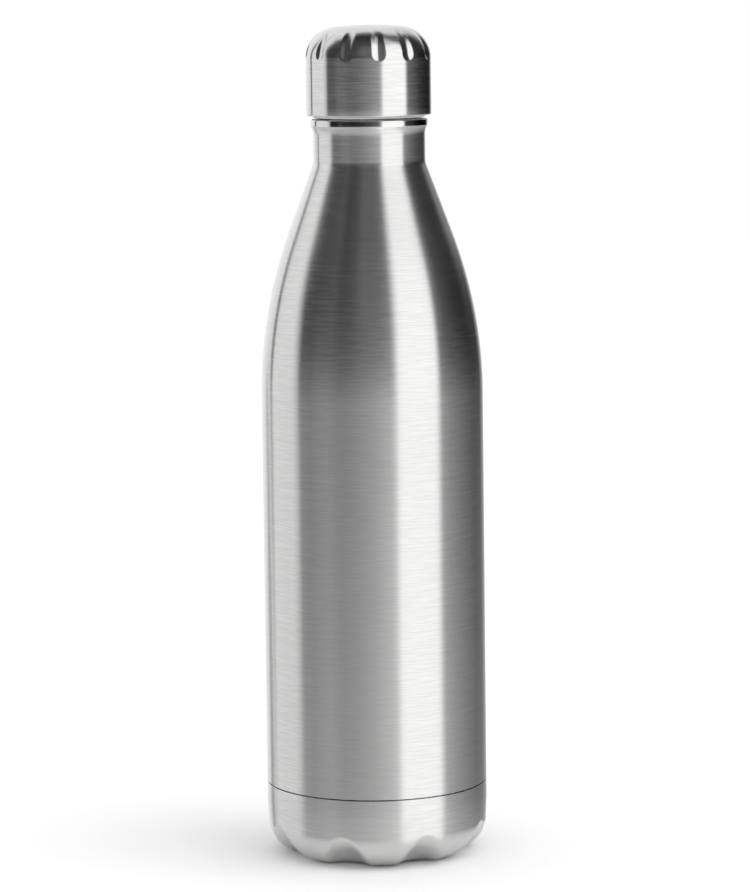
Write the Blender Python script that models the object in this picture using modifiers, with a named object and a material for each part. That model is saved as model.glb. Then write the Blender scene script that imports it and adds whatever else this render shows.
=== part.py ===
"""Insulated water bottle: a double-walled steel flask with a fluted screw cap and a petal base.

The bottle stands on the origin with +Z up, and -Y is its front. Every piece is turned about the
Z axis, apart from the feet of the base, the flutes of the cap, the screw threads and the getter.
Outlines are lists of (radius, height) points that run down the outer side of a piece.
"""

import math

import bmesh
import bpy

MM = 0.001
CONTACT_GAP = 0.3 * MM
MERGE = 0.00001

# Outer shell
BODY_RADIUS = 40.5 * MM
SHELL_WALL = 0.5 * MM
SEAM_HEIGHT = 26.5 * MM
SEAM_GAP = 0.4 * MM
BARREL_TOP = 170.0 * MM
BOW_RADIUS = 164.5 * MM
SHOULDER_SLOPE = 20.5
NECK_RADIUS = 20.35 * MM
NECK_FILLET = 5.4 * MM
RIM_HEIGHT = 269.7 * MM
BAND_RADIUS = 21.27 * MM
BAND_BOTTOM = 267.3 * MM
BAND_TOP_ROUND = 0.8 * MM
BAND_FOOT_ROUND = 0.6 * MM
BAND_FOOT_ANGLE = 30.0

# Inner liner and vacuum space
VACUUM_GAP = 3.5 * MM
LINER_WALL = 0.4 * MM
LINER_RADIUS = BODY_RADIUS - SHELL_WALL - VACUUM_GAP
LINER_NECK_RADIUS = 17.4 * MM
LINER_WELD_HEIGHT = 34.0 * MM
LINER_FLOOR_HEIGHT = 22.5 * MM
LINER_CORNER = 8.0 * MM
LINER_FLOOR_CROWN = 1.2 * MM
LINER_FLOOR_MIDWAY = 0.75
FOIL_WALL = 0.2 * MM
FOIL_BOTTOM = 40.0 * MM
FOIL_TOP = 164.0 * MM

# Steel plate that closes the vacuum space, and what it carries
PLATE_WALL = 0.5 * MM
PLATE_TOP = 33.0 * MM
PLATE_HEIGHT = 15.0 * MM
PLATE_CORNER = 4.0 * MM
PLATE_STEP_TOP = 25.5 * MM
PLATE_STEP_DEPTH = 1.7 * MM
DIMPLE_RADIUS = 6.5 * MM
DIMPLE_DEPTH = 2.0 * MM
PUMP_HOLE_RADIUS = 1.0 * MM
SEAL_RADIUS = 4.5 * MM
SEAL_THICKNESS = 1.2 * MM
GETTER_OFFSET = 20.0 * MM
GETTER_RADIUS = 4.6 * MM
GETTER_THICKNESS = 1.8 * MM
HOLDER_RADIUS = 5.5 * MM
HOLDER_HEIGHT = 2.9 * MM
HOLDER_WALL = 0.4 * MM

# Petal base cup
FOOT_COUNT = 8
FOOT_ANGLE = 3.75
CUP_WALL = 0.5 * MM
CUP_SIDE_RADIUS = 40.15 * MM
CUP_TAPER_TOP = 19.9 * MM
CUP_CORNER = 12.5 * MM
CUP_CORNER_STEPS = 6
CUP_INNER_SHARES = (0.3, 0.6, 0.85)
FOOT_PAD_WIDTH = 2.6 * MM
VALLEY_DEPTH = 2.6 * MM
VALLEY_LIFT = 0.9 * MM
VALLEY_HALF_ANGLE = 14.5
CUP_CENTRE_RISE = 6.4 * MM
GLUE_THICKNESS = 1.0 * MM
GLUE_BOTTOM = 18.5 * MM
GLUE_TOP = 23.5 * MM

# Screw cap
CAP_RADIUS = 22.7 * MM
CAP_WALL = 0.5 * MM
CAP_BOTTOM = 270.8 * MM
CAP_TOP = 303.2 * MM
CAP_CORNER = 11.5 * MM
CROWN_EDGE_ANGLE = 86.0
HEM_RADIUS = 0.7 * MM
HEM_HEIGHT = 2.0 * MM
FLUTE_COUNT = 12
FLUTE_ANGLE = 9.8
FLUTE_HALF_ANGLE = 5.7
FLUTE_FOOT = 290.6 * MM
FLUTE_FOOT_ROUND = 2.5 * MM
FLUTE_DEPTH = 0.65 * MM
FLUTE_FADE = (15.0, 75.0)
CAP_CORNER_ANGLES = (0.0, 10.0, 20.0, 32.0, 44.0, 56.0, 68.0, CROWN_EDGE_ANGLE)
CAP_LINER_RADIUS = 21.9 * MM
CAP_LINER_WALL = 1.2 * MM
CAP_LINER_CORNER = 13.0 * MM
CAP_LINER_TOP = 299.0 * MM

# Stopper under the cap, and its seal
GASKET_INNER = 17.9 * MM
GASKET_OUTER = 20.3 * MM
GASKET_THICKNESS = 1.6 * MM
GASKET_EDGE = 0.4 * MM
STOPPER_RADIUS = 15.5 * MM
STOPPER_BORE = 14.0 * MM
STOPPER_BOTTOM = 251.3 * MM
FLANGE_RADIUS = 20.6 * MM
FLANGE_THICKNESS = 1.5 * MM
END_DISC_RADIUS = 15.3 * MM
END_DISC_THICKNESS = 1.6 * MM
END_DISC_EDGE = 0.5 * MM
FOAM_TOP = 293.0 * MM

# Two-start right-hand screw thread between the stopper and the liner's neck
THREAD_STARTS = 2
THREAD_LEAD = 8.0 * MM
THREAD_ROOT_WIDTH = 1.8 * MM
THREAD_CREST_WIDTH = 0.8 * MM
THREAD_DEPTH = 1.1 * MM
THREAD_SINK = 0.15 * MM
FLANK_GAP = 0.3 * MM
LINER_THREAD_BOTTOM = 258.0 * MM
LINER_THREAD_TURNS = 0.75
STOPPER_THREAD_TURNS = 1.0
THREAD_FADE_TURNS = 0.1
THREAD_END_SCALE = 0.35

# Facets round each turned piece
SHELL_SEGMENTS = 40
LINER_SEGMENTS = 32
INNER_SEGMENTS = 32
SMALL_SEGMENTS = 20
CUP_SEGMENTS = 64
CAP_SEGMENTS = 72
FRONT = -90.0


def clear_scene():
    """Remove the objects that a new file starts with."""
    for item in list(bpy.data.objects):
        bpy.data.objects.remove(item, do_unlink=True)


def make_collection(name):
    """Add a collection to the scene."""
    collection = bpy.data.collections.new(name)
    bpy.context.scene.collection.children.link(collection)
    return collection


def make_material(name, colour, roughness, metallic):
    """Give a piece a Principled material of its own."""
    material = bpy.data.materials.new(name)
    material.use_nodes = True
    shader = material.node_tree.nodes["Principled BSDF"]
    shader.inputs["Base Color"].default_value = (*colour, 1.0)
    shader.inputs["Roughness"].default_value = roughness
    shader.inputs["Metallic"].default_value = metallic
    return material


def brushed_steel(name):
    return make_material(name, (0.62, 0.62, 0.61), 0.32, 1.0)


def pressed_steel(name):
    return make_material(name, (0.50, 0.50, 0.50), 0.42, 1.0)


def white_plastic(name):
    return make_material(name, (0.80, 0.80, 0.78), 0.50, 0.0)


def arc(centre_r, centre_z, radius, start, end, steps):
    """Points along a circular arc, with its angles in degrees from the +radius direction."""
    points = []
    for i in range(steps + 1):
        angle = math.radians(start + (end - start) * i / steps)
        points.append((centre_r + radius * math.cos(angle), centre_z + radius * math.sin(angle)))
    return points


def smooth(value):
    """Ease a value from 0 to 1."""
    value = min(max(value, 0.0), 1.0)
    return value * value * (3.0 - 2.0 * value)


def finish_mesh_object(name, mesh, material, collection, sharp_angle=35.0):
    """Put a mesh in the scene as a smooth-shaded object with its own material."""
    mesh.materials.append(material)
    mesh.shade_smooth()
    mesh.set_sharp_from_angle(angle=math.radians(sharp_angle))
    piece = bpy.data.objects.new(name, mesh)
    collection.objects.link(piece)
    return piece


def add_wall(piece, thickness):
    """Thicken an open surface inwards."""
    solidify = piece.modifiers.new("wall", "SOLIDIFY")
    solidify.thickness = thickness
    solidify.offset = -1.0
    solidify.use_even_offset = True


def turned(name, outline, segments, material, collection, closed=False, wall=0.0):
    """Turn an outline about the Z axis, and thicken it where it is one skin of a sheet."""
    edges = [(i, i + 1) for i in range(len(outline) - 1)]
    if closed:
        edges.append((len(outline) - 1, 0))
    mesh = bpy.data.meshes.new(name)
    mesh.from_pydata([(r, 0.0, z) for r, z in outline], edges, [])
    piece = finish_mesh_object(name, mesh, material, collection)
    screw = piece.modifiers.new("turn", "SCREW")
    screw.axis = "Z"
    screw.steps = segments
    screw.render_steps = segments
    screw.use_merge_vertices = True
    screw.merge_threshold = MERGE
    screw.use_smooth_shade = True
    if wall:
        add_wall(piece, wall)
    return piece


def lofted(name, rings, tip, material, collection, wall):
    """Join rings of points, outermost first, into one sheet that closes on a tip, and thicken it."""
    sheet = bmesh.new()
    rows = [[sheet.verts.new(point) for point in ring] for ring in rings]
    count = len(rows[0])
    for upper, lower in zip(rows, rows[1:]):
        for i in range(count):
            j = (i + 1) % count
            sheet.faces.new((upper[i], lower[i], lower[j], upper[j]))
    centre = sheet.verts.new(tip)
    for i in range(count):
        sheet.faces.new((rows[-1][i], centre, rows[-1][(i + 1) % count]))
    bmesh.ops.recalc_face_normals(sheet, faces=sheet.faces)
    mesh = bpy.data.meshes.new(name)
    sheet.to_mesh(mesh)
    sheet.free()
    piece = finish_mesh_object(name, mesh, material, collection)
    add_wall(piece, wall)
    return piece


def at_angle(r, z, angle):
    """The point at a radius and a height, an angle in degrees round the Z axis."""
    turn = math.radians(angle)
    return (r * math.cos(turn), r * math.sin(turn), z)


def angle_from_nearest(angle, first, count):
    """Degrees from an angle to the nearest of count evenly spaced directions."""
    pitch = 360.0 / count
    return (angle - first + pitch / 2.0) % pitch - pitch / 2.0


# ---------------------------------------------------------------- threads


def thread_section(name, inward, cutters):
    """The trapezium of one thread ridge: root sunk into its wall, crest one depth away."""
    side = -1.0 if inward else 1.0
    root = -THREAD_SINK * side
    crest = THREAD_DEPTH * side
    corners = [
        (root, -THREAD_ROOT_WIDTH / 2.0),
        (crest, -THREAD_CREST_WIDTH / 2.0),
        (crest, THREAD_CREST_WIDTH / 2.0),
        (root, THREAD_ROOT_WIDTH / 2.0),
    ]
    curve = bpy.data.curves.new(name, "CURVE")
    curve.dimensions = "2D"
    curve.fill_mode = "NONE"
    spline = curve.splines.new("POLY")
    spline.points.add(len(corners) - 1)
    for point, (x, y) in zip(spline.points, corners):
        point.co = (x, y, 0.0, 1.0)
    spline.use_cyclic_u = True
    section = bpy.data.objects.new(name, curve)
    section.hide_render = True
    section.display_type = "WIRE"
    cutters.objects.link(section)
    return section


def thread_ridge(name, wall_radius, bottom, turns, start_angle, section, cutters):
    """One start of a right-hand thread: a section swept up a helix, fading in and out."""
    count = round(turns * INNER_SEGMENTS) + 1
    curve = bpy.data.curves.new(name, "CURVE")
    curve.dimensions = "3D"
    curve.twist_mode = "Z_UP"
    curve.bevel_mode = "OBJECT"
    curve.bevel_object = section
    curve.use_fill_caps = True
    spline = curve.splines.new("POLY")
    spline.points.add(count - 1)
    for i, point in enumerate(spline.points):
        turn = turns * i / (count - 1)
        angle = math.radians(start_angle) + math.tau * turn
        height = bottom + THREAD_LEAD * turn
        point.co = (wall_radius * math.cos(angle), wall_radius * math.sin(angle), height, 1.0)
        fade = smooth(min(turn, turns - turn) / THREAD_FADE_TURNS)
        point.radius = THREAD_END_SCALE + (1.0 - THREAD_END_SCALE) * fade
    swept = bpy.data.objects.new(name + "_sweep", curve)
    cutters.objects.link(swept)
    return swept_mesh(name, swept, cutters)


def swept_mesh(name, swept, cutters):
    """Turn a swept curve into a closed mesh object with its end caps welded on."""
    graph = bpy.context.evaluated_depsgraph_get()
    mesh = bpy.data.meshes.new_from_object(swept.evaluated_get(graph))
    welded = bmesh.new()
    welded.from_mesh(mesh)
    bmesh.ops.remove_doubles(welded, verts=welded.verts, dist=MERGE)
    bmesh.ops.recalc_face_normals(welded, faces=welded.faces)
    welded.to_mesh(mesh)
    welded.free()
    ridge = bpy.data.objects.new(name, mesh)
    ridge.matrix_world = swept.matrix_world
    ridge.hide_render = True
    ridge.display_type = "WIRE"
    cutters.objects.link(ridge)
    bpy.data.objects.remove(swept, do_unlink=True)
    return ridge


def add_thread(piece, wall_radius, bottom, turns, inward, cutters):
    """Unite every start of a thread with the wall that carries it."""
    section = thread_section(piece.name + "_thread_section", inward, cutters)
    for start in range(THREAD_STARTS):
        name = f"{piece.name}_thread_{start + 1}"
        angle = 360.0 * start / THREAD_STARTS
        ridge = thread_ridge(name, wall_radius, bottom, turns, angle, section, cutters)
        union = piece.modifiers.new(name, "BOOLEAN")
        union.operation = "UNION"
        union.solver = "EXACT"
        union.object = ridge


# ---------------------------------------------------------------- bottle


def wall_line(body_radius, neck_radius, bow_radius, fillet_radius):
    """A bottle wall from the foot of its neck to the top of its barrel: fillet, cone and bow."""
    slope = math.radians(SHOULDER_SLOPE)
    bow_end_r = body_radius - bow_radius * (1.0 - math.cos(slope))
    bow_end_z = BARREL_TOP + bow_radius * math.sin(slope)
    fillet_end_r = neck_radius + fillet_radius * (1.0 - math.cos(slope))
    fillet_end_z = bow_end_z + (bow_end_r - fillet_end_r) / math.tan(slope)
    neck_z = fillet_end_z + fillet_radius * math.sin(slope)
    fillet_r = neck_radius + fillet_radius
    fillet = arc(fillet_r, neck_z, fillet_radius, 180.0, 180.0 + SHOULDER_SLOPE, 2)
    bow = arc(body_radius - bow_radius, BARREL_TOP, bow_radius, SHOULDER_SLOPE, 0.0, 5)
    return fillet + bow


def rim_line():
    """The mouth's turned-in lip, its flat band, and the fillet that runs into the neck."""
    foot_r = BAND_RADIUS - BAND_FOOT_ROUND
    lean = math.radians(BAND_FOOT_ANGLE)
    fillet_start_r = foot_r + BAND_FOOT_ROUND * math.cos(lean)
    fillet_radius = (fillet_start_r - NECK_RADIUS) / (1.0 - math.cos(lean))
    fillet_z = BAND_BOTTOM - (BAND_FOOT_ROUND + fillet_radius) * math.sin(lean)
    fillet_r = NECK_RADIUS + fillet_radius
    lip = [(LINER_NECK_RADIUS + CONTACT_GAP, RIM_HEIGHT)]
    top_z = RIM_HEIGHT - BAND_TOP_ROUND
    top = arc(BAND_RADIUS - BAND_TOP_ROUND, top_z, BAND_TOP_ROUND, 90.0, 0.0, 2)
    foot = arc(foot_r, BAND_BOTTOM, BAND_FOOT_ROUND, 0.0, -BAND_FOOT_ANGLE, 1)
    fillet = arc(fillet_r, fillet_z, fillet_radius, 180.0 - BAND_FOOT_ANGLE, 180.0, 2)
    return lip + top + foot + fillet[1:]


def make_outer_shell(parts):
    shoulder = wall_line(BODY_RADIUS, NECK_RADIUS, BOW_RADIUS, NECK_FILLET)
    foot = [(BODY_RADIUS, SEAM_HEIGHT + SEAM_GAP / 2.0)]
    outline = rim_line() + shoulder + foot
    steel = brushed_steel("outer_shell_steel")
    turned("outer_shell", outline, SHELL_SEGMENTS, steel, parts, wall=SHELL_WALL)


def make_inner_liner(parts, cutters):
    inset = BODY_RADIUS - LINER_RADIUS
    shoulder = wall_line(
        LINER_RADIUS, LINER_NECK_RADIUS, BOW_RADIUS - inset, NECK_FILLET + inset
    )
    top = [(LINER_NECK_RADIUS, RIM_HEIGHT)]
    foot = [(LINER_RADIUS, LINER_WELD_HEIGHT + CONTACT_GAP / 2.0)]
    steel = pressed_steel("inner_liner_steel")
    liner = turned(
        "inner_liner", top + shoulder + foot, LINER_SEGMENTS, steel, parts, wall=LINER_WALL
    )
    bore = LINER_NECK_RADIUS - LINER_WALL
    add_thread(liner, bore, LINER_THREAD_BOTTOM, LINER_THREAD_TURNS, True, cutters)


def make_liner_bottom(parts):
    """The pressed dish welded to the liner's lower edge, crowned a little in the middle."""
    top = [(LINER_RADIUS, LINER_WELD_HEIGHT - CONTACT_GAP / 2.0)]
    corner_r = LINER_RADIUS - LINER_CORNER
    corner = arc(corner_r, LINER_FLOOR_HEIGHT + LINER_CORNER, LINER_CORNER, 0.0, -90.0, 4)
    crown = [
        (corner_r / 2.0, LINER_FLOOR_HEIGHT + LINER_FLOOR_CROWN * LINER_FLOOR_MIDWAY),
        (0.0, LINER_FLOOR_HEIGHT + LINER_FLOOR_CROWN),
    ]
    steel = pressed_steel("liner_bottom_steel")
    turned("liner_bottom", top + corner + crown, LINER_SEGMENTS, steel, parts, wall=LINER_WALL)


def make_copper_foil(parts):
    """The thin copper wrap round the liner that reflects heat across the vacuum."""
    radius = LINER_RADIUS + CONTACT_GAP + FOIL_WALL
    outline = [(radius, FOIL_TOP), (radius, FOIL_BOTTOM)]
    copper = make_material("copper_foil_copper", (0.85, 0.45, 0.30), 0.25, 1.0)
    turned("copper_foil", outline, LINER_SEGMENTS, copper, parts, wall=FOIL_WALL)


def make_vacuum_plate(parts):
    """The pressed plate that closes the vacuum space, with a dimple round its pump hole."""
    rim_radius = BODY_RADIUS - SHELL_WALL - CONTACT_GAP
    side_radius = rim_radius - PLATE_STEP_DEPTH
    corner_r = side_radius - PLATE_CORNER
    outline = [
        (rim_radius, PLATE_TOP),
        (rim_radius, PLATE_STEP_TOP),
        (side_radius, PLATE_STEP_TOP - PLATE_STEP_DEPTH),
    ]
    outline += arc(corner_r, PLATE_HEIGHT + PLATE_CORNER, PLATE_CORNER, 0.0, -90.0, 3)
    outline += [
        (DIMPLE_RADIUS + DIMPLE_DEPTH, PLATE_HEIGHT),
        (DIMPLE_RADIUS, PLATE_HEIGHT + DIMPLE_DEPTH),
        (PUMP_HOLE_RADIUS, PLATE_HEIGHT + DIMPLE_DEPTH),
    ]
    steel = pressed_steel("vacuum_plate_steel")
    turned("vacuum_plate", outline, SHELL_SEGMENTS, steel, parts, wall=PLATE_WALL)


def make_vacuum_seal(parts):
    """The bead of solder glass that closes the pump hole from below."""
    top = PLATE_HEIGHT + DIMPLE_DEPTH - CONTACT_GAP
    edge = SEAL_THICKNESS / 2.0
    outline = [(0.0, top)]
    outline += arc(SEAL_RADIUS - edge, top - edge, edge, 90.0, -90.0, 4)
    outline += [(0.0, top - SEAL_THICKNESS)]
    glass = make_material("vacuum_seal_glass", (0.16, 0.20, 0.18), 0.20, 0.0)
    turned("vacuum_seal", outline, SMALL_SEGMENTS, glass, parts)


def make_getter(parts):
    """The getter pellet and the little cup that holds it on the vacuum plate."""
    floor = PLATE_HEIGHT + PLATE_WALL + CONTACT_GAP
    rim = floor + HOLDER_HEIGHT
    cup = [(HOLDER_RADIUS, rim), (HOLDER_RADIUS, floor), (0.0, floor)]
    steel = pressed_steel("getter_holder_steel")
    holder = turned("getter_holder", cup, SMALL_SEGMENTS, steel, parts, wall=HOLDER_WALL)
    bottom = floor + HOLDER_WALL + CONTACT_GAP
    top = bottom + GETTER_THICKNESS
    disc = [(0.0, top), (GETTER_RADIUS, top), (GETTER_RADIUS, bottom), (0.0, bottom)]
    alloy = make_material("getter_alloy", (0.22, 0.22, 0.23), 0.80, 0.5)
    pellet = turned("getter", disc, SMALL_SEGMENTS, alloy, parts)
    for piece in (holder, pellet):
        piece.location.x = GETTER_OFFSET


def make_base_glue_ring(parts):
    """The band of adhesive in the step of the vacuum plate that holds the base cup."""
    inner = BODY_RADIUS - SHELL_WALL - PLATE_STEP_DEPTH
    outer = inner + GLUE_THICKNESS
    outline = [
        (inner, GLUE_TOP),
        (outer, GLUE_TOP),
        (outer, GLUE_BOTTOM),
        (inner, GLUE_BOTTOM),
    ]
    glue = make_material("base_glue", (0.75, 0.75, 0.72), 0.60, 0.0)
    turned("base_glue_ring", outline, SHELL_SEGMENTS, glue, parts, closed=True)


def cup_rows():
    """Rows of the base cup: (radius, height, angle round its corner, share of the way in)."""
    corner_r = CUP_SIDE_RADIUS - CUP_CORNER
    pad_r = corner_r - FOOT_PAD_WIDTH
    rows = [
        (BODY_RADIUS, SEAM_HEIGHT - SEAM_GAP / 2.0, 0.0, 0.0),
        (BODY_RADIUS, CUP_TAPER_TOP, 0.0, 0.0),
    ]
    corner = arc(corner_r, CUP_CORNER, CUP_CORNER, 0.0, -90.0, CUP_CORNER_STEPS)
    for i, (r, z) in enumerate(corner):
        rows.append((r, z, math.pi / 2.0 * i / CUP_CORNER_STEPS, 0.0))
    rows.append((pad_r, 0.0, math.pi / 2.0, 0.0))
    for share in CUP_INNER_SHARES:
        height = CUP_CENTRE_RISE * smooth(share)
        rows.append((pad_r * (1.0 - share), height, math.pi / 2.0, share))
    return rows


def valley_depth(turn, share, angle):
    """How far a point of the base cup is pressed in along its normal, between two feet."""
    if turn == 0.0:
        return 0.0
    first_valley = FRONT + FOOT_ANGLE + 180.0 / FOOT_COUNT
    half_width = VALLEY_HALF_ANGLE * math.sqrt(math.sin(turn))
    off_valley = angle_from_nearest(angle, first_valley, FOOT_COUNT) / half_width
    press = max(1.0 - off_valley**2, 0.0)
    middle = VALLEY_DEPTH * math.sin(2.0 * turn) + VALLEY_LIFT * math.sin(turn) ** 2
    return middle * press * (1.0 - smooth(share))


def make_base_cup(parts):
    """The petal cup: a rounded corner with valleys pressed into it between its feet."""
    rings = []
    for r, z, turn, share in cup_rows():
        ring = []
        for i in range(CUP_SEGMENTS):
            angle = FRONT + FOOT_ANGLE + 360.0 * i / CUP_SEGMENTS
            depth = valley_depth(turn, share, angle)
            ring.append(at_angle(r - depth * math.cos(turn), z + depth * math.sin(turn), angle))
        rings.append(ring)
    steel = brushed_steel("base_cup_steel")
    lofted("base_cup", rings, (0.0, 0.0, CUP_CENTRE_RISE), steel, parts, CUP_WALL)


# ---------------------------------------------------------------- cap


def cap_rows():
    """Rows of the cap: (radius, height, angle round its corner, distance up from the flutes)."""
    corner_r = CAP_RADIUS - CAP_CORNER
    crown_slope = math.radians(90.0 - CROWN_EDGE_ANGLE)
    edge_r = corner_r + CAP_CORNER * math.cos(math.radians(CROWN_EDGE_ANGLE))
    crown_rise = edge_r * math.tan(crown_slope / 2.0)
    corner_z = CAP_TOP - crown_rise - CAP_CORNER * math.sin(math.radians(CROWN_EDGE_ANGLE))
    hem_r = CAP_RADIUS - HEM_RADIUS
    hem = [(hem_r - HEM_RADIUS, CAP_BOTTOM + HEM_HEIGHT)]
    hem += arc(hem_r, CAP_BOTTOM + HEM_RADIUS, HEM_RADIUS, 180.0, 360.0, 4)
    side = hem + [(CAP_RADIUS, FLUTE_FOOT)]
    rows = [(r, z, 0.0, z - FLUTE_FOOT) for r, z in side]
    for corner_angle in CAP_CORNER_ANGLES:
        turn = math.radians(corner_angle)
        r = corner_r + CAP_CORNER * math.cos(turn)
        z = corner_z + CAP_CORNER * math.sin(turn)
        rows.append((r, z, turn, corner_z - FLUTE_FOOT + CAP_CORNER * turn))
    return rows


def flute_depth(turn, along, angle):
    """Depth of a flute: a dent with a round foot, dying away where the cap turns level."""
    across = angle_from_nearest(angle, FRONT + FLUTE_ANGLE, FLUTE_COUNT) / FLUTE_HALF_ANGLE
    below = min(along / FLUTE_FOOT_ROUND - 1.0, 0.0)
    dent = max(1.0 - across**2 - below**2, 0.0)
    start, end = FLUTE_FADE
    fade = 1.0 - smooth((math.degrees(turn) - start) / (end - start))
    return FLUTE_DEPTH * dent * fade


def make_cap_shell(parts):
    """The steel cap: a hemmed lower edge, a straight side, a fluted corner and a low dome."""
    rings = []
    for r, z, turn, along in cap_rows():
        ring = []
        for i in range(CAP_SEGMENTS):
            angle = FRONT + FLUTE_ANGLE + 360.0 * i / CAP_SEGMENTS
            depth = flute_depth(turn, along, angle)
            ring.append(at_angle(r - depth * math.cos(turn), z - depth * math.sin(turn), angle))
        rings.append(ring)
    steel = brushed_steel("cap_shell_steel")
    lofted("cap_shell", rings, (0.0, 0.0, CAP_TOP), steel, parts, CAP_WALL)


def make_cap_liner(parts):
    """The plastic cup inside the cap, held by the hem of the steel."""
    corner_r = CAP_LINER_RADIUS - CAP_LINER_CORNER
    outline = [(0.0, CAP_LINER_TOP)]
    outline += arc(
        corner_r, CAP_LINER_TOP - CAP_LINER_CORNER, CAP_LINER_CORNER, 90.0, 0.0, 5
    )
    outline += [(CAP_LINER_RADIUS, flange_top() + CONTACT_GAP)]
    plastic = white_plastic("cap_liner_plastic")
    turned("cap_liner", outline, INNER_SEGMENTS, plastic, parts, wall=CAP_LINER_WALL)


def flange_top():
    """Height of the stopper flange's upper face, above the gasket that sits on the rim."""
    return RIM_HEIGHT + 2.0 * CONTACT_GAP + GASKET_THICKNESS + FLANGE_THICKNESS


def make_mouth_gasket(parts):
    """The silicone ring squeezed between the mouth's rim and the stopper's flange."""
    bottom = RIM_HEIGHT + CONTACT_GAP
    top = bottom + GASKET_THICKNESS
    outline = [
        (GASKET_INNER, top),
        (GASKET_OUTER - GASKET_EDGE, top),
        (GASKET_OUTER, top - GASKET_EDGE),
        (GASKET_OUTER, bottom + GASKET_EDGE),
        (GASKET_OUTER - GASKET_EDGE, bottom),
        (GASKET_INNER, bottom),
    ]
    silicone = make_material("mouth_gasket_silicone", (0.78, 0.78, 0.76), 0.45, 0.0)
    turned("mouth_gasket", outline, INNER_SEGMENTS, silicone, parts, closed=True)


def make_stopper(parts, cutters):
    """The hollow threaded plug, with the flange that carries the cap and presses the gasket."""
    top = flange_top()
    outline = [
        (STOPPER_BORE, top),
        (FLANGE_RADIUS, top),
        (FLANGE_RADIUS, top - FLANGE_THICKNESS),
        (STOPPER_RADIUS, top - FLANGE_THICKNESS),
        (STOPPER_RADIUS, STOPPER_BOTTOM),
        (STOPPER_BORE, STOPPER_BOTTOM),
    ]
    plastic = white_plastic("stopper_plastic")
    stopper = turned("stopper", outline, INNER_SEGMENTS, plastic, parts, closed=True)
    crest_overlap = STOPPER_RADIUS + 2.0 * THREAD_DEPTH + LINER_WALL - LINER_NECK_RADIUS
    flank_run = (THREAD_ROOT_WIDTH - THREAD_CREST_WIDTH) / 2.0
    flank_step = THREAD_CREST_WIDTH + flank_run * crest_overlap / THREAD_DEPTH
    bottom = LINER_THREAD_BOTTOM - flank_step - FLANK_GAP
    add_thread(stopper, STOPPER_RADIUS, bottom, STOPPER_THREAD_TURNS, False, cutters)


def make_stopper_end_disc(parts):
    """The disc welded over the lower end of the stopper."""
    top = STOPPER_BOTTOM - CONTACT_GAP
    bottom = top - END_DISC_THICKNESS
    outline = [
        (0.0, top),
        (END_DISC_RADIUS, top),
        (END_DISC_RADIUS, bottom + END_DISC_EDGE),
        (END_DISC_RADIUS - END_DISC_EDGE, bottom),
        (0.0, bottom),
    ]
    plastic = white_plastic("stopper_end_disc_plastic")
    turned("stopper_end_disc", outline, INNER_SEGMENTS, plastic, parts)


def make_stopper_foam(parts):
    """The insulating foam core that fills the stopper and reaches up into the cap."""
    radius = STOPPER_BORE - CONTACT_GAP
    outline = [(0.0, FOAM_TOP), (radius, FOAM_TOP), (radius, STOPPER_BOTTOM), (0.0, STOPPER_BOTTOM)]
    foam = make_material("stopper_foam_foam", (0.88, 0.87, 0.82), 0.95, 0.0)
    turned("stopper_foam", outline, INNER_SEGMENTS, foam, parts)


def main():
    clear_scene()
    parts = make_collection("insulated_water_bottle")
    cutters = make_collection("cutters")
    make_outer_shell(parts)
    make_inner_liner(parts, cutters)
    make_liner_bottom(parts)
    make_copper_foil(parts)
    make_vacuum_plate(parts)
    make_vacuum_seal(parts)
    make_getter(parts)
    make_base_glue_ring(parts)
    make_base_cup(parts)
    make_mouth_gasket(parts)
    make_stopper(parts, cutters)
    make_stopper_end_disc(parts)
    make_stopper_foam(parts)
    make_cap_liner(parts)
    make_cap_shell(parts)


main()
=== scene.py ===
"""Looks of the insulated water bottle: fine sheet metal, threads, brushed steel and a studio.

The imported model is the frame. Its faceted skins are replaced here by the same shapes with fine
rings, rounded edges and full thread flanks, and what stays hidden inside keeps its CAD mesh with
a better material. Everything is in metres, +Z is up and -Y is the front of the bottle.
"""

import math

import bmesh
import bpy
from mathutils import Matrix, Vector


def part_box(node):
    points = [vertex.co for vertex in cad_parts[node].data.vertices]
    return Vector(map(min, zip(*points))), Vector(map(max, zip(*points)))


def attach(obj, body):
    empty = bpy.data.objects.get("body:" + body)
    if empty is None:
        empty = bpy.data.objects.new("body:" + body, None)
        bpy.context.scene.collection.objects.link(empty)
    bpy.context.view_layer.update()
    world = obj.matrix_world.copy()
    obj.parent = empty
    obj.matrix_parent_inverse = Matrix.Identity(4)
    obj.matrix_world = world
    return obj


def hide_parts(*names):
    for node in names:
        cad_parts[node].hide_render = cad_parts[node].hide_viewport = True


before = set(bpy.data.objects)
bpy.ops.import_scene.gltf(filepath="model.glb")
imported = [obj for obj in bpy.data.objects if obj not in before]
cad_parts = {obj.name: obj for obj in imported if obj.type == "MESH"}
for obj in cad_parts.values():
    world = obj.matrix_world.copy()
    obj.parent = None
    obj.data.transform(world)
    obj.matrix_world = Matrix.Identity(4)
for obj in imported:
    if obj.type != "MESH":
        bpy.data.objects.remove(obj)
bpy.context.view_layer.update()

MM = 0.001
FRONT = math.radians(-90.0)

# Two radii closer than this are the same
SAME = 0.001 * MM

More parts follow.
